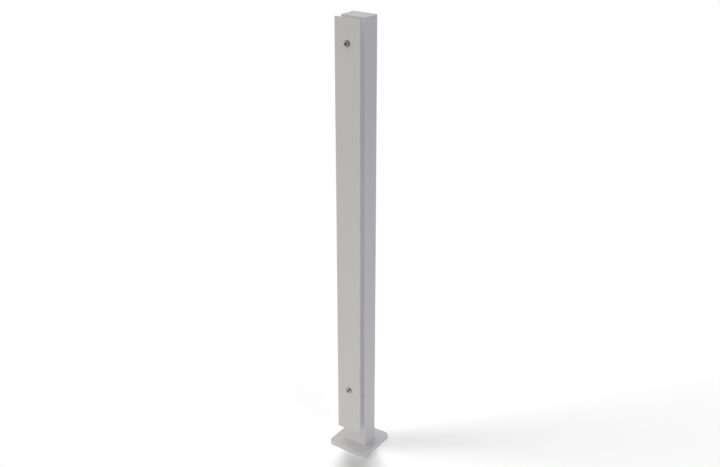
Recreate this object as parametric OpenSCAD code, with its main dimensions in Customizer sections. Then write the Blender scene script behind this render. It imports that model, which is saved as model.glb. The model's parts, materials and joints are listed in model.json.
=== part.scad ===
// Balustrade newel post: a hollow rectangular post on a base plate, with a
// flat clamp bar held off its front face by two screws, so that the edge of
// a glass panel fits in the slot between them.
// Millimetres, +Z up. The origin is at the centre of the base plate's
// underside. The clamp bar is on the -Y side.

/* [Base plate] */
// Width of the base plate, side to side
base_w = 102; // [94:1:180]
// Depth of the base plate, front to back
base_d = 102; // [94:1:180]
// Thickness of the base plate
base_t = 10; // [4:0.5:20]
// Radius of the plate's upright corners
base_corner_r = 11; // [3:0.5:20]
// Radius that softens the plate's top edge
base_edge_r = 1; // [0.3:0.1:2.5]

/* [Post] */
// Overall height, from the floor to the top of the post
total_h = 1000; // [600:5:1500]
// Width of the post's section, side to side
post_w = 58; // [40:1:80]
// Depth of the post's section, front to back
post_d = 42; // [30:1:60]
// Wall thickness of the post
post_wall = 3; // [2:0.5:5]
// Outside corner radius of the post's section
post_corner_r = 1; // [0.5:0.1:5]
// Thickness of the cap plate that closes the post
cap_t = 3; // [2:0.5:8]

/* [Clamp bar] */
// Width of the clamp bar, side to side
bar_w = 60; // [30:1:80]
// Thickness of the clamp bar
bar_t = 3; // [2:0.5:10]
// Height of the bar's lower end above the base plate
bar_lift = 44; // [10:1:150]
// How far the bar's top lies below the post's top
bar_drop = 0; // [0:1:50]
// Radius that softens the bar's long edges
bar_edge_r = 0.4; // [0.2:0.1:0.9]
// Clear width of the panel slot between the bar and the post
slot_w = 17; // [6:0.5:24]

/* [Screws] */
// Nominal thread diameter of a clamp screw
screw_d = 8; // [5:1:10]
// Diameter of the button head
head_d = 14; // [11:0.5:19]
// Height of the button head
head_h = 4.4; // [3:0.1:5.5]
// Width of the hexagon socket, across its flats
socket_af = 5; // [3:0.5:6]
// Depth of the hexagon socket
socket_depth = 2.6; // [1.5:0.1:2.8]
// Distance of the upper screw below the bar's top
upper_screw_drop = 50; // [20:1:200]
// Distance of the lower screw above the bar's lower end
lower_screw_lift = 106; // [20:1:200]
// Radial clearance of a screw in the bar
bar_hole_clearance = 0.3; // [0.1:0.05:0.5]
// Radial clearance of a screw's thread in the post's wall
thread_clearance = 0.05; // [0.02:0.01:0.1]
// How far a screw's end stands past the inside of the post's wall
screw_past_wall = 3; // [1:0.5:8]

/* [Hidden] */

// Levels, from the floor up
post_bottom_z = base_t;
cap_bottom_z = total_h - cap_t;
bar_bottom_z = base_t + bar_lift;
bar_top_z = total_h - bar_drop;
upper_screw_z = bar_top_z - upper_screw_drop;
lower_screw_z = bar_bottom_z + lower_screw_lift;

// Depths, from the back of the post towards the front
post_front_y = -post_d / 2;
bar_back_y = post_front_y - slot_w;
bar_front_y = bar_back_y - bar_t;

// Post section
post_inner_w = post_w - 2 * post_wall;
post_inner_d = post_d - 2 * post_wall;
post_inner_r_min = 0.5;
post_inner_r = max(post_corner_r - post_wall, post_inner_r_min);

// Screw
shank_len = bar_t + slot_w + post_wall + screw_past_wall;
screw_end_chamfer = 0.8;
head_land = 0.6;
head_crown_share = 0.27;
head_crown_r = head_crown_share * head_d;
socket_turn = 30;
// The dome is part of a ball that meets the land's edge and the crown's edge
dome_drop = (head_crown_r ^ 2 + head_h ^ 2 - (head_d / 2) ^ 2 - head_land ^ 2) / (2 * (head_land - head_h));
dome_r = sqrt((head_d / 2) ^ 2 + (head_land + dome_drop) ^ 2);

// How far a cutting shape runs past the faces that it cuts
cut = 1;
$fn = 96;

// Rectangle with round corners, centred on the origin
module round_rectangle(w, d, r) {
  square([w - 2 * r, d], center = true);
  square([w, d - 2 * r], center = true);
  for (x = [-1, 1], y = [-1, 1])
    translate([x * (w / 2 - r), y * (d / 2 - r)]) circle(r);
}

// Side view of a slab that stands on the X axis, with its two top edges rounded
module slab_profile(w, t, edge_r) {
  translate([-w / 2, 0]) square([w, t - edge_r]);
  translate([edge_r - w / 2, 0]) square([w - 2 * edge_r, t]);
  for (x = [-1, 1])
    translate([x * (w / 2 - edge_r), t - edge_r]) circle(edge_r);
}

// Half side view of a round slab, for turning about Y
module barrel_profile(r, t, edge_r) {
  square([r, t - edge_r]);
  square([r - edge_r, t]);
  translate([r - edge_r, t - edge_r]) circle(edge_r);
}

// Plate with round upright corners and a softened top edge
module softened_plate(w, d, t, corner_r, edge_r) {
  rotate([90, 0, 0])
    linear_extrude(d - 2 * corner_r, center = true) slab_profile(w, t, edge_r);
  rotate([90, 0, 90])
    linear_extrude(w - 2 * corner_r, center = true) slab_profile(d, t, edge_r);
  for (x = [-1, 1], y = [-1, 1])
    translate([x * (w / 2 - corner_r), y * (d / 2 - corner_r), 0])
      rotate_extrude() barrel_profile(corner_r, t, edge_r);
}

// Round hole along Y, from front_y to back_y, at height z
module hole_y(d, front_y, back_y, z) {
  translate([0, front_y, z])
    rotate([-90, 0, 0]) cylinder(h = back_y - front_y, d = d);
}

module base_plate() {
  color("silver")
    softened_plate(base_w, base_d, base_t, base_corner_r, base_edge_r);
}

module post_tube() {
  tapped_d = screw_d + 2 * thread_clearance;
  color("silver")
    difference() {
      translate([0, 0, post_bottom_z])
        linear_extrude(cap_bottom_z - post_bottom_z)
          difference() {
            round_rectangle(post_w, post_d, post_corner_r);
            round_rectangle(post_inner_w, post_inner_d, post_inner_r);
          }
      for (z = [lower_screw_z, upper_screw_z])
        hole_y(tapped_d, post_front_y - cut, post_front_y + post_wall + cut, z);
    }
}

module top_cap() {
  color("silver")
    translate([0, 0, cap_bottom_z])
      linear_extrude(cap_t) round_rectangle(post_w, post_d, post_corner_r);
}

module clamp_bar() {
  hole_d = screw_d + 2 * bar_hole_clearance;
  color("silver")
    difference() {
      translate([0, (bar_front_y + bar_back_y) / 2, bar_bottom_z])
        linear_extrude(bar_top_z - bar_bottom_z)
          round_rectangle(bar_w, bar_t, bar_edge_r);
      for (z = [lower_screw_z, upper_screw_z])
        hole_y(hole_d, bar_front_y - cut, bar_back_y + cut, z);
    }
}

// Half side view of a button head, standing on the X axis, for turning about Y
module head_profile() {
  square([head_d / 2, head_land]);
  intersection() {
    square([head_d / 2, head_h]);
    translate([0, -dome_drop]) circle(dome_r);
  }
}

// Button-head socket screw along +Z, with the underside of its head at z = 0
module button_screw() {
  difference() {
    rotate_extrude() head_profile();
    translate([0, 0, head_h - socket_depth])
      rotate([0, 0, socket_turn])
        cylinder(h = socket_depth + cut, d = socket_af / cos(30), $fn = 6);
  }
  translate([0, 0, screw_end_chamfer - shank_len])
    cylinder(h = shank_len - screw_end_chamfer, d = screw_d);
  translate([0, 0, -shank_len])
    cylinder(h = screw_end_chamfer, d1 = screw_d - 2 * screw_end_chamfer, d2 = screw_d);
}

module clamp_screw(z) {
  color("dimgray")
    translate([0, bar_front_y, z]) rotate([90, 0, 0]) button_screw();
}

module upper_screw() {
  clamp_screw(upper_screw_z);
}

module lower_screw() {
  clamp_screw(lower_screw_z);
}

base_plate();
post_tube();
top_cap();
clamp_bar();
upper_screw();
lower_screw();
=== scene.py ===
"""Balustrade newel post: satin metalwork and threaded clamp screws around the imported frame.

Every part is made by an operator below, and main() calls them in order. Lengths are in metres,
+Z is up, and the clamp bar and its screws face -Y.
"""
import json
import math

import bmesh
import bpy
from mathutils import Matrix, Vector

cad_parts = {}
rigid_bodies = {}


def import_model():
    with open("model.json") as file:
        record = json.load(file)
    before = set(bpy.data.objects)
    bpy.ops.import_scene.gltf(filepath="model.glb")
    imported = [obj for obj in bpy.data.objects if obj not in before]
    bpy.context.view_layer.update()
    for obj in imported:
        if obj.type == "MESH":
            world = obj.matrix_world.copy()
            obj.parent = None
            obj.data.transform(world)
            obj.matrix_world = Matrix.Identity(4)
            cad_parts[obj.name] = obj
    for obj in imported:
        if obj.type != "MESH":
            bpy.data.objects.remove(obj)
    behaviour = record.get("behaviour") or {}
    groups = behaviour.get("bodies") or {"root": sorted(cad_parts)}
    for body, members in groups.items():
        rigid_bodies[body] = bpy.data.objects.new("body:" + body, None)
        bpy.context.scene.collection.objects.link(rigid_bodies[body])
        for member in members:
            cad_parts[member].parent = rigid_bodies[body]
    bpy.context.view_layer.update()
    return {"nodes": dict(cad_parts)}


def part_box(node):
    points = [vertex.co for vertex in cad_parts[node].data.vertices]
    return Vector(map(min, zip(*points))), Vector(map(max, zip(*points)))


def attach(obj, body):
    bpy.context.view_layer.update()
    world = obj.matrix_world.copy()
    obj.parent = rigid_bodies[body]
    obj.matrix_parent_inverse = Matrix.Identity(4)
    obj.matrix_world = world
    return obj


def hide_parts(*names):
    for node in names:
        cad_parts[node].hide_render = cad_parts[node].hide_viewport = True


bl_info = {
    "name": "Balustrade Newel Post",
    "version": (1, 0, 0),
    "blender": (4, 5, 0),
    "location": "View3D > Sidebar > Newel Post",
    "description": "Satin metalwork, threaded clamp screws and a plain studio for a newel post",
    "category": "Add Mesh",
}

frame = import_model()

BODY = "root"
SCREW_NODES = ("upper_screw", "lower_screw")
THREADED = "_threaded"

WHITE = (1.0, 1.0, 1.0)

# Range that holds most of a noise texture's values, and how many layers the texture has
NOISE_RANGE = (0.3, 0.7)
NOISE_DETAIL = 3.0

# Satin metal: how fine its drift of tone and its faint lines are, and how far the lines are drawn
# out along the way that the metal was rolled or extruded
DRIFT_SCALE = 9.0
LINE_SCALE = 1400.0
LINE_DETAIL = 2.0
LINE_STRETCH = 0.004
# How far the drift and the lines change its roughness, and how strongly grain and lines bend light
DRIFT_ROUGHNESS = 0.03
LINE_ROUGHNESS = 0.02
GRAIN_BUMP = 0.6
LINE_BUMP = 0.3

# Screw steel: how fine its smudges are, and how far they change its tone and roughness
SMUDGE_SCALE = 500.0
SMUDGE_TONE = 0.06
SMUDGE_ROUGHNESS = 0.05
# How fine its turned rings are, how far they change its roughness, how deep they are and how
# strongly they bend light
RING_SCALE = 9000.0
RING_DETAIL = 1.0
RING_ROUGHNESS = 0.03
RING_DEPTH = 0.000004
RING_BUMP = 0.5

# Screw shape: points nearer than this count as one
NEAR = 1e-6
# Steps round a screw's head and round its thread, and along the dome's arc and the neck's fillet
HEAD_STEPS = 96
THREAD_STEPS = 48
DOME_STEPS = 14
FILLET_STEPS = 4
# Radius of the crown and of the foot, as shares of the head's, and height of the land and of its
# rolled rim, as shares of the head's
CROWN_SHARE = 0.56
FOOT_SHARE = 0.97
LAND_SHARE = 0.18
RIM_SHARE = 0.09
# Fillet between the head's underside and the shank
NECK_FILLET = 0.00025
# Width of the socket's mouth and of its drilled floor, as shares of the distance across its
# corners and its flats, with the slope of the countersink and the angle of the floor in degrees
MOUTH_SHARE = 1.04
MOUTH_SLOPE = 0.6
DRILL_SHARE = 0.94
DRILL_ANGLE = 20
# Rings of the drilled floor, as shares of its radius
DRILL_RINGS = (1.0, 0.6, 0.2)
# Depth of the thread and softening of its edges, as shares of the pitch
THREAD_DEPTH = 0.6134
THREAD_SOFTENING = 0.02
# Turns made below the tip and then cut away
SPARE_TURNS = 1.5
# Level of the thread's upper end, below the head, and size of the chamfer at its tip
THREAD_TOP = -0.0016
TIP_CHAMFER = 0.0009
# Edges that turn by more than this many degrees stay sharp
SHARP_ANGLE = 35

# The floor lies this far below the base plate, so that the two faces don't share a plane
FLOOR_GAP = 0.0001
# Width of the camera's sensor, in millimetres
SENSOR_WIDTH = 36.0
# A sun shines the same from anywhere, and is only set down this far off to be easy to find
SUN_DISTANCE = 3.0
# Suns that show as highlights on the metal
HIGHLIGHT_SUNS = ("key_lamp", "spark_lamp")
# A soft panel that lies in front of the post and shows only as a reflection in the lower screw
MIRROR_PANEL_SIZE = 0.85
MIRROR_PANEL_STRENGTH = 3.6
MIRROR_PANEL_COLOUR = (1.0, 0.95, 0.9)
MIRROR_PANEL_PLACE = (-0.02, -0.42, 0.015)

# Lamps that light the object: name, heading from +X, height, angle across, strength, colour and
# whether it casts a shadow
OBJECT_SUNS = (
    ("key_lamp", 214.0, 40.0, 34.0, 0.86, (1.0, 0.945, 0.78), True),
    ("left_lamp", 185.0, 55.0, 40.0, 0.45, (1.0, 1.0, 1.0), True),
    ("right_lamp", 25.0, 45.0, 40.0, 0.62, (0.62, 0.67, 1.0), True),
    ("back_lamp", 125.0, 52.0, 50.0, 0.72, (0.98, 1.0, 0.985), True),
    ("top_fill", 0.0, 90.0, 60.0, 0.41, (0.98, 1.0, 0.86), False),
    ("front_fill", 270.0, -30.0, 50.0, 1.08, (0.97, 0.935, 1.0), False),
    ("corner_fill", 315.0, 30.0, 60.0, 1.05, (0.93, 0.917, 1.0), False),
    ("back_fill", 90.0, -20.0, 50.0, 1.6, (0.99, 0.98, 1.0), False),
    ("left_fill", 180.0, -20.0, 50.0, 1.0, (1.0, 0.99, 0.97), False),
)
# A small sun that lights only the screws, with the same values as those above
SPARK = ("spark_lamp", 187.0, 20.0, 14.0, 0.4, WHITE, True)
# Round panels at the sides: name, heading, distance, height, width, strength, colour and whether
# it casts a shadow
SIDE_FILLS = (
    ("low_front_fill", 270.0, 1.1, 0.1, 0.5, 3.3, (1.0, 0.914, 0.70), True),
    ("low_right_fill", 0.0, 1.1, 0.1, 0.5, 2.75, (1.0, 0.957, 0.94), False),
    ("low_back_fill", 90.0, 1.1, 0.1, 0.5, 2.0, (1.0, 1.0, 1.0), True),
    ("low_left_fill", 180.0, 1.1, 0.1, 0.5, 2.0, (1.0, 1.0, 1.0), True),
    ("foot_front_fill", 270.0, 0.28, 0.02, 0.15, 0.06, (1.0, 0.96, 0.94), True),
    ("foot_right_fill", 0.0, 0.28, 0.02, 0.15, 0.12, (0.96, 0.96, 1.0), True),
)
# Lamps that light the floor and lay the object's shadows on it: name, heading, height, angle
# across, strength and what stops it: all the pieces, the post and bar without the base plate, or
# the plate alone
FLOOR_SUNS = (
    ("floor_back_high", 126.0, 48.0, 30.0, 2.9, "post"),
    ("floor_back_low", 133.0, 35.0, 30.0, 0.26, "all"),
    ("floor_key_high", 216.0, 35.0, 27.0, 1.3, "post"),
    ("floor_key_low", 218.0, 15.0, 24.0, 0.84, "all"),
    ("floor_right", 340.0, 38.0, 34.0, 0.46, "all"),
    ("floor_contact", 185.0, 45.0, 30.0, 0.62, "plate"),
)


# Settings


class NewelMetalSettings(bpy.types.PropertyGroup):
    """Finish of the base plate, post, cap and clamp bar"""

    colour: bpy.props.FloatVectorProperty(
        name="Metal colour",
        description="Colour of the satin metal",
        subtype="COLOR",
        size=3,
        min=0.0,
        max=1.0,
        default=(0.50, 0.50, 0.50),
    )
    metallic: bpy.props.FloatProperty(
        name="Metallic",
        description="How far the surface reflects as bare metal",
        subtype="FACTOR",
        min=0.0,
        max=1.0,
        default=0.25,
    )
    roughness: bpy.props.FloatProperty(
        name="Roughness",
        description="Mean roughness of the satin finish",
        subtype="FACTOR",
        min=0.1,
        max=1.0,
        default=0.5,
    )
    grain_size: bpy.props.FloatProperty(
        name="Grain size",
        description="Size of the fine blasted grain",
        unit="LENGTH",
        min=0.0002,
        max=0.003,
        default=0.0007,
        precision=5,
    )
    grain_depth: bpy.props.FloatProperty(
        name="Grain depth",
        description="Depth of the fine blasted grain",
        unit="LENGTH",
        min=0.0,
        max=0.0001,
        default=0.00001,
        precision=6,
    )
    mottle: bpy.props.FloatProperty(
        name="Mottle",
        description="How much the tone drifts over the surface",
        subtype="FACTOR",
        min=0.0,
        max=0.2,
        default=0.03,
    )


class NewelScrewSettings(bpy.types.PropertyGroup):
    """Sizes and finish of the clamp screws"""

    thread_d: bpy.props.FloatProperty(
        name="Thread diameter",
        description="Outside diameter of the thread",
        unit="LENGTH",
        min=0.004,
        max=0.010,
        default=0.008,
        precision=5,
    )
    pitch: bpy.props.FloatProperty(
        name="Pitch",
        description="Distance from one turn of the thread to the next",
        unit="LENGTH",
        min=0.0005,
        max=0.002,
        default=0.00125,
        precision=5,
    )
    socket_af: bpy.props.FloatProperty(
        name="Socket width",
        description="Width of the hexagon socket, across its flats",
        unit="LENGTH",
        min=0.003,
        max=0.006,
        default=0.005,
        precision=5,
    )
    socket_depth: bpy.props.FloatProperty(
        name="Socket depth",
        description="Depth of the hexagon socket's straight sides",
        unit="LENGTH",
        min=0.001,
        max=0.003,
        default=0.0026,
        precision=5,
    )
    colour: bpy.props.FloatVectorProperty(
        name="Screw colour",
        description="Colour of the screws' steel",
        subtype="COLOR",
        size=3,
        min=0.0,
        max=1.0,
        default=(0.175, 0.152, 0.136),
    )
    roughness: bpy.props.FloatProperty(
        name="Screw roughness",
        description="Mean roughness of the screws' steel",
        subtype="FACTOR",
        min=0.05,
        max=1.0,
        default=0.20,
    )


class NewelStudioSettings(bpy.types.PropertyGroup):
    """Floor, lamps and camera"""

    floor_size: bpy.props.FloatProperty(
        name="Floor size",
        description="Side of the square floor",
        unit="LENGTH",
        min=5.0,
        max=500.0,
        default=120.0,
    )
    floor_tone: bpy.props.FloatProperty(
        name="Floor tone",
        description="How pale the floor is",
        subtype="FACTOR",
        min=0.2,
        max=1.0,
        default=0.79,
    )
    floor_bounce: bpy.props.FloatProperty(
        name="Floor bounce",
        description="How pale the floor is to the soft light that it throws back on the post",
        subtype="FACTOR",
        min=0.0,
        max=1.0,
        default=0.25,
    )
    camera_place: bpy.props.FloatVectorProperty(
        name="Camera place",
        description="Where the camera stands",
        subtype="TRANSLATION",
        unit="LENGTH",
        size=3,
        default=(1.11487, -1.60300, 1.40118),
    )
    camera_heading: bpy.props.FloatProperty(
        name="Camera heading",
        description="Turn of the camera about the vertical",
        subtype="ANGLE",
        default=math.radians(34.770),
    )
    camera_pitch: bpy.props.FloatProperty(
        name="Camera pitch",
        description="How far the camera looks down",
        subtype="ANGLE",
        default=math.radians(23.986),
    )
    lens: bpy.props.FloatProperty(
        name="Lens",
        description="Focal length of the camera",
        subtype="DISTANCE_CAMERA",
        min=10.0,
        max=200.0,
        default=50.0,
    )


# Node helpers


def new_material(name):
    """Empty node material, its tree and its Principled shader, already joined to the output."""
    material = bpy.data.materials.new(name)
    material.use_nodes = True
    tree = material.node_tree
    tree.nodes.clear()
    output = tree.nodes.new("ShaderNodeOutputMaterial")
    shader = tree.nodes.new("ShaderNodeBsdfPrincipled")
    tree.links.new(shader.outputs["BSDF"], output.inputs["Surface"])
    return material, tree, shader


def object_point(tree, scale=(1.0, 1.0, 1.0), centre=(0.0, 0.0, 0.0)):
    """Object coordinates, measured from centre and then scaled."""
    place = tree.nodes.new("ShaderNodeTexCoord")
    mapping = tree.nodes.new("ShaderNodeMapping")
    mapping.inputs["Scale"].default_value = scale
    mapping.inputs["Location"].default_value = [-c * s for c, s in zip(centre, scale)]
    tree.links.new(place.outputs["Object"], mapping.inputs["Vector"])
    return mapping.outputs["Vector"]


def noise(tree, point, scale, detail=NOISE_DETAIL):
    """Height of a noise texture at a point."""
    node = tree.nodes.new("ShaderNodeTexNoise")
    node.inputs["Scale"].default_value = scale
    node.inputs["Detail"].default_value = detail
    tree.links.new(point, node.inputs["Vector"])
    return node.outputs["Fac"]


def spread(tree, value, low, high, source=NOISE_RANGE):
    """Value spread from the source range to low and high."""
    node = tree.nodes.new("ShaderNodeMapRange")
    node.inputs["From Min"].default_value = source[0]
    node.inputs["From Max"].default_value = source[1]
    node.inputs["To Min"].default_value = low
    node.inputs["To Max"].default_value = high
    tree.links.new(value, node.inputs["Value"])
    return node.outputs["Result"]


def math_node(tree, operation, a, b):
    """Result of a math operation on two sockets or numbers."""
    node = tree.nodes.new("ShaderNodeMath")
    node.operation = operation
    for socket, value in zip(node.inputs, (a, b)):
        if isinstance(value, bpy.types.NodeSocket):
            tree.links.new(value, socket)
        else:
            socket.default_value = value
    return node.outputs["Value"]


def tinted(tree, colour, factor):
    """Colour times a factor socket."""
    node = tree.nodes.new("ShaderNodeMix")
    node.data_type = "RGBA"
    node.blend_type = "MULTIPLY"
    node.inputs["Factor"].default_value = 1.0
    combine = tree.nodes.new("ShaderNodeCombineColor")
    for channel in ("Red", "Green", "Blue"):
        tree.links.new(factor, combine.inputs[channel])
    socket_a = next(s for s in node.inputs if s.name == "A" and s.type == "RGBA")
    socket_b = next(s for s in node.inputs if s.name == "B" and s.type == "RGBA")
    socket_a.default_value = (*colour, 1.0)
    tree.links.new(combine.outputs["Color"], socket_b)
    return next(s for s in node.outputs if s.type == "RGBA")


def bump(tree, height, distance, strength, normal=None):
    """Normal bent by a height socket, starting from another normal if one is given."""
    node = tree.nodes.new("ShaderNodeBump")
    node.inputs["Strength"].default_value = strength
    node.inputs["Distance"].default_value = distance
    tree.links.new(height, node.inputs["Height"])
    if normal is not None:
        tree.links.new(normal, node.inputs["Normal"])
    return node.outputs["Normal"]


# Materials


def satin_metal(name, settings, along):
    """Fine-blasted metal: an even tone with a slight drift, and faint lines along one axis."""
    material, tree, shader = new_material(name)
    grain = noise(tree, object_point(tree), 1.0 / settings.grain_size)
    drift = noise(tree, object_point(tree), DRIFT_SCALE)
    stretch = [LINE_STRETCH if axis == along else 1.0 for axis in "XYZ"]
    lines = noise(tree, object_point(tree, scale=stretch), LINE_SCALE, detail=LINE_DETAIL)
    drift_tone = settings.mottle / 2
    line_tone = settings.mottle / 3
    tone = math_node(
        tree,
        "ADD",
        spread(tree, drift, 1.0 - drift_tone, 1.0 + drift_tone),
        spread(tree, lines, -line_tone, line_tone),
    )
    tree.links.new(tinted(tree, settings.colour, tone), shader.inputs["Base Color"])
    shader.inputs["Metallic"].default_value = settings.metallic
    rough = math_node(
        tree,
        "ADD",
        spread(
            tree,
            drift,
            settings.roughness - DRIFT_ROUGHNESS,
            settings.roughness + DRIFT_ROUGHNESS,
        ),
        spread(tree, lines, -LINE_ROUGHNESS, LINE_ROUGHNESS),
    )
    tree.links.new(rough, shader.inputs["Roughness"])
    grained = bump(tree, grain, settings.grain_depth, GRAIN_BUMP)
    lined = bump(tree, lines, settings.grain_depth, LINE_BUMP, normal=grained)
    tree.links.new(lined, shader.inputs["Normal"])
    return material


def screw_steel(name, settings, axis_point):
    """Turned stainless steel: glossy, with fine rings round the screw's axis through axis_point."""
    material, tree, shader = new_material(name)
    around = object_point(tree, scale=(1.0, 0.0, 1.0), centre=axis_point)
    length = tree.nodes.new("ShaderNodeVectorMath")
    length.operation = "LENGTH"
    tree.links.new(around, length.inputs[0])
    rings = tree.nodes.new("ShaderNodeTexNoise")
    rings.noise_dimensions = "1D"
    rings.inputs["Scale"].default_value = RING_SCALE
    rings.inputs["Detail"].default_value = RING_DETAIL
    tree.links.new(length.outputs["Value"], rings.inputs["W"])
    ring_height = rings.outputs["Fac"]
    smudge = noise(tree, object_point(tree), SMUDGE_SCALE)
    tone = spread(tree, smudge, 1.0 - SMUDGE_TONE, 1.0 + SMUDGE_TONE)
    tree.links.new(tinted(tree, settings.colour, tone), shader.inputs["Base Color"])
    shader.inputs["Metallic"].default_value = 1.0
    rough = math_node(
        tree,
        "ADD",
        spread(
            tree,
            smudge,
            settings.roughness - SMUDGE_ROUGHNESS,
            settings.roughness + SMUDGE_ROUGHNESS,
        ),
        spread(tree, ring_height, -RING_ROUGHNESS, RING_ROUGHNESS),
    )
    tree.links.new(rough, shader.inputs["Roughness"])
    turned_normal = bump(tree, ring_height, RING_DEPTH, RING_BUMP)
    tree.links.new(turned_normal, shader.inputs["Normal"])
    return material


def dress(node, settings, along):
    """Gives a CAD node its own satin metal, with lines along one axis."""
    piece = frame["nodes"][node]
    piece.data.materials.clear()
    piece.data.materials.append(satin_metal(node + "_satin", settings, along))


def seen_directly(tree):
    """1 for camera, glossy and transmission rays, 0 for the rest."""
    path = tree.nodes.new("ShaderNodeLightPath")
    camera, glossy = path.outputs["Is Camera Ray"], path.outputs["Is Glossy Ray"]
    direct = math_node(tree, "MAXIMUM", camera, glossy)
    return math_node(tree, "MAXIMUM", direct, path.outputs["Is Transmission Ray"])


def floor_white(settings):
    """Pale matt floor, which throws back less light than camera and mirror rays see in it."""
    material, tree, shader = new_material("floor_white")
    shader.inputs["Roughness"].default_value = 1.0
    shader.inputs["Specular IOR Level"].default_value = 0.0
    direct = seen_directly(tree)
    tone = spread(tree, direct, settings.floor_bounce, settings.floor_tone, source=(0.0, 1.0))
    tree.links.new(tinted(tree, WHITE, tone), shader.inputs["Base Color"])
    return material


def set_world():
    """White for what is seen directly or in a mirror. The world itself lights nothing else."""
    world = bpy.data.worlds.new("studio")
    world.use_nodes = True
    tree = world.node_tree
    tree.nodes.clear()
    output = tree.nodes.new("ShaderNodeOutputWorld")
    background = tree.nodes.new("ShaderNodeBackground")
    background.inputs["Color"].default_value = (*WHITE, 1.0)
    tree.links.new(seen_directly(tree), background.inputs["Strength"])
    tree.links.new(background.outputs["Background"], output.inputs["Surface"])
    bpy.context.scene.world = world


# Screw geometry: made along +Z with the head's underside at z = 0, then turned to face -Y


def hexagon_r(angle, across_flats):
    """Distance from a hexagon's middle to its side. One of its corners points along 90 degrees."""
    sixth = math.radians(60)
    from_corner = abs((angle - math.radians(90) + sixth / 2) % sixth - sixth / 2)
    return across_flats / 2 / math.cos(sixth / 2 - from_corner)


def open_loop(bm, height):
    """Boundary edges that lie at one height."""
    return [
        e for e in bm.edges if e.is_boundary and all(abs(v.co.z - height) < NEAR for v in e.verts)
    ]


def turned(bm, outline, steps, rise=0.0):
    """Spins an outline of (radius, height) points once about +Z, rising as it goes."""
    verts = [bm.verts.new((r, 0.0, z)) for r, z in outline]
    edges = [bm.edges.new(pair) for pair in zip(verts, verts[1:])]
    bmesh.ops.spin(
        bm,
        geom=verts + edges,
        cent=(0, 0, 0),
        axis=(0, 0, 1),
        dvec=(0, 0, rise / steps),
        angle=math.radians(360),
        steps=steps,
        use_merge=rise == 0.0,
    )


def drawn_in(bm, rim, radius, height):
    """Extrudes a loop to a new radius and height, each a number or a function of the angle."""
    made = bmesh.ops.extrude_edge_only(bm, edges=rim)["geom"]
    verts = {g for g in made if isinstance(g, bmesh.types.BMVert)}
    for v in verts:
        angle = math.atan2(v.co.y, v.co.x)
        r = radius(angle) if callable(radius) else radius
        z = height(angle) if callable(height) else height
        v.co = Vector((r * math.cos(angle), r * math.sin(angle), z))
    return [g for g in made if isinstance(g, bmesh.types.BMEdge) and verts.issuperset(g.verts)]


def head_outline(settings, head_r, head_h, mouth_r):
    """Outline of the button head as (radius, height), from the socket's mouth to the neck."""
    thread_r = settings.thread_d / 2
    crown_r = CROWN_SHARE * head_r
    land_h = LAND_SHARE * head_h
    rim_h = RIM_SHARE * head_h
    foot_r = FOOT_SHARE * head_r
    # The dome is an arc through the edges of the crown and the land, with its middle on the axis
    middle = (crown_r**2 + head_h**2 - head_r**2 - land_h**2) / (2 * (head_h - land_h))
    ball_r = math.hypot(crown_r, head_h - middle)
    top = math.atan2(head_h - middle, crown_r)
    low = math.atan2(land_h - middle, head_r)
    points = [(mouth_r, head_h), ((mouth_r + crown_r) / 2, head_h)]
    for i in range(DOME_STEPS + 1):
        a = top + (low - top) * i / DOME_STEPS
        points.append((ball_r * math.cos(a), middle + ball_r * math.sin(a)))
    points += [(head_r, rim_h), (foot_r, 0.0), (thread_r + NECK_FILLET, 0.0)]
    for i in range(1, FILLET_STEPS + 1):
        a = math.radians(90) * i / FILLET_STEPS
        fillet_r = thread_r + NECK_FILLET * (1 - math.sin(a))
        points.append((fillet_r, NECK_FILLET * (math.cos(a) - 1)))
    return points


def add_head(bm, settings, head_r, head_h):
    """Adds the button head with its hexagon socket, open at the neck."""
    flats = settings.socket_af
    corner_r = hexagon_r(math.radians(90), flats)
    mouth_r = MOUTH_SHARE * corner_r
    turned(bm, head_outline(settings, head_r, head_h, mouth_r), HEAD_STEPS)
    floor_z = head_h - settings.socket_depth
    drill_r = DRILL_SHARE * flats / 2
    drill_depth = drill_r * math.tan(math.radians(DRILL_ANGLE))

    def flat_side(angle):
        return hexagon_r(angle, flats)

    def scallop(angle):
        """The mouth's countersink meets the six flats in shallow arcs."""
        return head_h - (mouth_r - hexagon_r(angle, flats)) * MOUTH_SLOPE

    rim = drawn_in(bm, open_loop(bm, head_h), flat_side, scallop)
    rim = drawn_in(bm, rim, flat_side, floor_z)
    for share in DRILL_RINGS:
        rim = drawn_in(bm, rim, drill_r * share, floor_z - drill_depth * (1 - share))
    bmesh.ops.holes_fill(bm, edges=rim)


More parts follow.
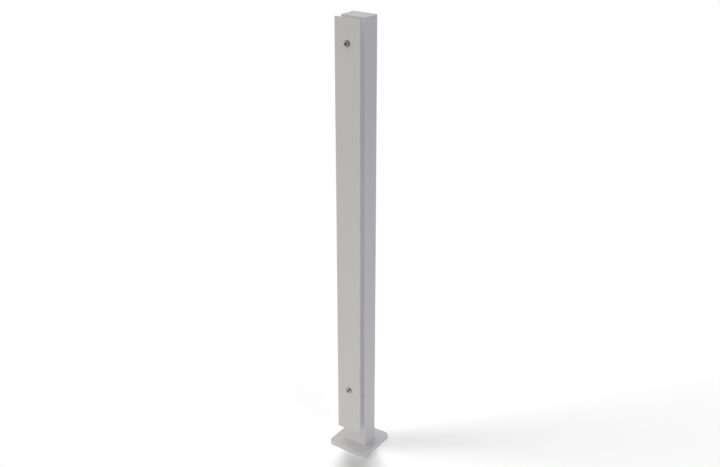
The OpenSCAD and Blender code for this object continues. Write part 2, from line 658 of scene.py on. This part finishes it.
def add_thread(bm, settings, top_z, tip_z):
    """Adds a coarse thread from top_z down to a chamfered tip, open at its top, to an empty bm."""
    pitch = settings.pitch
    crest_r = settings.thread_d / 2
    root_r = crest_r - THREAD_DEPTH * pitch
    soft = THREAD_SOFTENING * pitch
    # One pitch of the outline, from root to root, as (share of the pitch, radius)
    profile = (
        (0.0, root_r + soft),
        (0.06, root_r),
        (0.19, root_r),
        (0.25, root_r + soft),
        (0.55, crest_r - soft),
        (0.58, crest_r),
        (0.67, crest_r),
        (0.70, crest_r - soft),
        (1.0, root_r + soft),
    )
    start_z = tip_z - SPARE_TURNS * pitch
    turned(bm, [(r, start_z + share * pitch) for share, r in profile], THREAD_STEPS, rise=pitch)
    one_turn = bm.verts[:] + bm.edges[:] + bm.faces[:]
    for turn in range(1, math.ceil((top_z - start_z) / pitch) + 1):
        copy = bmesh.ops.duplicate(bm, geom=one_turn)["geom"]
        verts = [g for g in copy if isinstance(g, bmesh.types.BMVert)]
        bmesh.ops.translate(bm, vec=(0, 0, turn * pitch), verts=verts)
    bmesh.ops.remove_doubles(bm, verts=bm.verts, dist=NEAR)
    for height, outward in ((top_z, 1.0), (tip_z, -1.0)):
        bmesh.ops.bisect_plane(
            bm,
            geom=bm.verts[:] + bm.edges[:] + bm.faces[:],
            dist=NEAR,
            plane_co=(0, 0, height),
            plane_no=(0, 0, outward),
            clear_outer=True,
        )
    for v in bm.verts:
        limit = crest_r - TIP_CHAMFER + (v.co.z - tip_z)
        r = v.co.xy.length
        if r > limit:
            v.co.xy *= limit / r
    bmesh.ops.holes_fill(bm, edges=open_loop(bm, tip_z))


def make_screw(name, node, settings):
    """Builds one clamp screw in the place of its CAD node, facing -Y."""
    low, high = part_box(node)
    bar_front_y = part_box("clamp_bar")[0].y
    centre = Vector((0.0, bar_front_y, (low.z + high.z) / 2))
    head_h = bar_front_y - low.y
    bm = bmesh.new()
    add_thread(bm, settings, THREAD_TOP, bar_front_y - high.y)
    add_head(bm, settings, (high.z - low.z) / 2, head_h)
    bmesh.ops.bridge_loops(bm, edges=open_loop(bm, THREAD_TOP) + open_loop(bm, -NECK_FILLET))
    # Only the flat ends and the cuts have faces with more than four corners
    bmesh.ops.triangulate(bm, faces=[f for f in bm.faces if len(f.verts) > 4])
    bmesh.ops.recalc_face_normals(bm, faces=bm.faces)
    place = Matrix.Translation(centre) @ Matrix.Rotation(math.radians(90), 4, "X")
    bmesh.ops.transform(bm, matrix=place, verts=bm.verts)
    mesh = bpy.data.meshes.new(name)
    bm.to_mesh(mesh)
    bm.free()
    mesh.shade_smooth()
    mesh.set_sharp_from_angle(angle=math.radians(SHARP_ANGLE))
    piece = bpy.data.objects.new(name, mesh)
    bpy.context.scene.collection.objects.link(piece)
    mesh.materials.append(screw_steel(name + "_steel", settings, centre))
    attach(piece, BODY)
    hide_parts(node)


# Studio


def direction(heading, height):
    """Unit vector towards a heading from +X and a height above the horizon, both in degrees."""
    a = math.radians(heading)
    e = math.radians(height)
    return Vector((math.cos(a) * math.cos(e), math.sin(a) * math.cos(e), math.sin(e)))


def add_lamp(name, kind, strength, colour, shadow, shines_from):
    """Adds a lamp that shines from a direction, and returns it with its data."""
    data = bpy.data.lights.new(name, kind)
    data.energy = strength
    data.color = colour
    data.use_shadow = shadow
    lamp = bpy.data.objects.new(name, data)
    lamp.rotation_mode = "QUATERNION"
    lamp.rotation_quaternion = shines_from.to_track_quat("Z", "Y")
    bpy.context.scene.collection.objects.link(lamp)
    return lamp, data


def add_sun(name, heading, height, angle, strength, colour, shadow=True):
    """Adds a soft lamp far away, angle degrees across as seen from the post."""
    towards = direction(heading, height)
    lamp, data = add_lamp(name, "SUN", strength, colour, shadow, towards)
    data.angle = math.radians(angle)
    lamp.location = towards * SUN_DISTANCE
    lamp.visible_glossy = name in HIGHLIGHT_SUNS
    return lamp


def add_panel(name, width, strength, colour, shadow, shines_from, place):
    """Adds a round soft panel, which the camera doesn't see."""
    lamp, data = add_lamp(name, "AREA", strength, colour, shadow, shines_from)
    data.shape = "DISK"
    data.size = width
    lamp.visible_camera = False
    lamp.location = place
    return lamp


def add_side_fill(name, heading, distance, height, width, strength, colour, shadow):
    """Adds a low soft panel at one side, so that the post is a little brighter at its foot."""
    towards = direction(heading, 0.0)
    place = towards * distance + Vector((0, 0, height))
    lamp = add_panel(name, width, strength, colour, shadow, towards, place)
    lamp.visible_glossy = False
    return lamp


def add_mirror_panel():
    """Adds the panel that lies in front of the post, facing up, for the lower screw to mirror."""
    lamp = add_panel(
        "mirror_panel",
        MIRROR_PANEL_SIZE,
        MIRROR_PANEL_STRENGTH,
        MIRROR_PANEL_COLOUR,
        True,
        Vector((0, 0, -1)),
        MIRROR_PANEL_PLACE,
    )
    lamp.visible_diffuse = False
    return lamp


def light_group(name, pieces, state):
    """Collection that links a lamp to the pieces alone, or with EXCLUDE to everything but them."""
    group = bpy.data.collections.new(name)
    for piece in pieces:
        group.objects.link(piece)
    for entry in group.collection_objects:
        entry.light_linking.link_state = state
    return group


def add_floor(settings):
    """Adds the square floor, just below the base plate, and returns it."""
    bm = bmesh.new()
    bmesh.ops.create_grid(bm, x_segments=1, y_segments=1, size=settings.floor_size / 2)
    floor_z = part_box("base_plate")[0].z - FLOOR_GAP
    bmesh.ops.translate(bm, vec=(0, 0, floor_z), verts=bm.verts)
    mesh = bpy.data.meshes.new("studio_floor")
    bm.to_mesh(mesh)
    bm.free()
    floor = bpy.data.objects.new("studio_floor", mesh)
    bpy.context.scene.collection.objects.link(floor)
    mesh.materials.append(floor_white(settings))
    return floor


def add_lamps(floor):
    """Adds the lamps of the floor and its shadows, of the object, and of the screws alone."""
    only_floor = light_group("only_floor", [floor], "INCLUDE")
    all_but_floor = light_group("all_but_floor", [floor], "EXCLUDE")
    screws = [o for o in bpy.context.scene.objects if o.name.endswith(THREADED)]
    plate = frame["nodes"]["base_plate"]
    blockers = {
        "all": None,
        "post": light_group("all_but_plate", [plate], "EXCLUDE"),
        "plate": light_group("only_plate", [plate], "INCLUDE"),
    }
    for name, heading, height, angle, strength, stopped_by in FLOOR_SUNS:
        linking = add_sun(name, heading, height, angle, strength, WHITE).light_linking
        linking.receiver_collection = only_floor
        linking.blocker_collection = blockers[stopped_by]
    for lamp in OBJECT_SUNS:
        add_sun(*lamp).light_linking.receiver_collection = all_but_floor
    for lamp in SIDE_FILLS:
        add_side_fill(*lamp).light_linking.receiver_collection = all_but_floor
    only_screws = light_group("only_screws", screws, "INCLUDE")
    add_mirror_panel().light_linking.receiver_collection = only_screws
    add_sun(*SPARK).light_linking.receiver_collection = only_screws


def add_camera(settings):
    """Adds the camera and makes it the scene's own."""
    data = bpy.data.cameras.new("studio_camera")
    data.lens = settings.lens
    data.sensor_width = SENSOR_WIDTH
    camera = bpy.data.objects.new("studio_camera", data)
    camera.location = settings.camera_place
    tilt = math.radians(90) - settings.camera_pitch
    camera.rotation_euler = (tilt, 0.0, settings.camera_heading)
    bpy.context.scene.collection.objects.link(camera)
    bpy.context.scene.camera = camera


# Operators


class NEWEL_OT_finish_base_plate(bpy.types.Operator):
    """Finish the base plate in satin metal, rolled from side to side"""

    bl_idname = "newel.finish_base_plate"
    bl_label = "Finish Base Plate"

    def execute(self, context):
        dress("base_plate", context.scene.newel_metal, "X")
        return {"FINISHED"}


class NEWEL_OT_finish_post(bpy.types.Operator):
    """Finish the extruded post and its cap in satin metal"""

    bl_idname = "newel.finish_post"
    bl_label = "Finish Post"

    def execute(self, context):
        dress("post_tube", context.scene.newel_metal, "Z")
        dress("top_cap", context.scene.newel_metal, "X")
        return {"FINISHED"}


class NEWEL_OT_finish_clamp_bar(bpy.types.Operator):
    """Finish the extruded clamp bar in satin metal"""

    bl_idname = "newel.finish_clamp_bar"
    bl_label = "Finish Clamp Bar"

    def execute(self, context):
        dress("clamp_bar", context.scene.newel_metal, "Z")
        return {"FINISHED"}


class NEWEL_OT_add_screws(bpy.types.Operator):
    """Build the two threaded button-head screws that hold the clamp bar"""

    bl_idname = "newel.add_screws"
    bl_label = "Add Clamp Screws"

    def execute(self, context):
        for node in SCREW_NODES:
            make_screw(node + THREADED, node, context.scene.newel_screws)
        return {"FINISHED"}


class NEWEL_OT_add_studio(bpy.types.Operator):
    """Add the floor, the lamps, the world and the camera"""

    bl_idname = "newel.add_studio"
    bl_label = "Add Studio"

    def execute(self, context):
        settings = context.scene.newel_studio
        floor = add_floor(settings)
        set_world()
        add_lamps(floor)
        add_camera(settings)
        context.scene.view_settings.view_transform = "Standard"
        return {"FINISHED"}


# Panel and registration


class NEWEL_PT_panel(bpy.types.Panel):
    """The newel post's settings and operators"""

    bl_idname = "NEWEL_PT_panel"
    bl_label = "Newel Post"
    bl_space_type = "VIEW_3D"
    bl_region_type = "UI"
    bl_category = "Newel Post"

    def draw(self, context):
        layout = self.layout
        for settings, operators in STEPS:
            box = layout.box()
            group = getattr(context.scene, settings)
            for name in group.bl_rna.properties.keys():
                if name not in ("rna_type", "name"):
                    box.prop(group, name)
            for operator in operators:
                box.operator(operator)


STEPS = (
    ("newel_metal", ("newel.finish_base_plate", "newel.finish_post", "newel.finish_clamp_bar")),
    ("newel_screws", ("newel.add_screws",)),
    ("newel_studio", ("newel.add_studio",)),
)
CLASSES = (
    NewelMetalSettings,
    NewelScrewSettings,
    NewelStudioSettings,
    NEWEL_OT_finish_base_plate,
    NEWEL_OT_finish_post,
    NEWEL_OT_finish_clamp_bar,
    NEWEL_OT_add_screws,
    NEWEL_OT_add_studio,
    NEWEL_PT_panel,
)


def register():
    """Registers the classes and adds the settings to the scene."""
    for cls in CLASSES:
        bpy.utils.register_class(cls)
    bpy.types.Scene.newel_metal = bpy.props.PointerProperty(type=NewelMetalSettings)
    bpy.types.Scene.newel_screws = bpy.props.PointerProperty(type=NewelScrewSettings)
    bpy.types.Scene.newel_studio = bpy.props.PointerProperty(type=NewelStudioSettings)


def unregister():
    """Takes the settings and the classes away again."""
    del bpy.types.Scene.newel_studio
    del bpy.types.Scene.newel_screws
    del bpy.types.Scene.newel_metal
    for cls in reversed(CLASSES):
        bpy.utils.unregister_class(cls)


def main():
    """Builds the scene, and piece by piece."""
    register()
    bpy.ops.newel.finish_base_plate()
    bpy.ops.newel.finish_post()
    bpy.ops.newel.finish_clamp_bar()
    bpy.ops.newel.add_screws()
    bpy.ops.newel.add_studio()


if __name__ == "__main__":
    main()
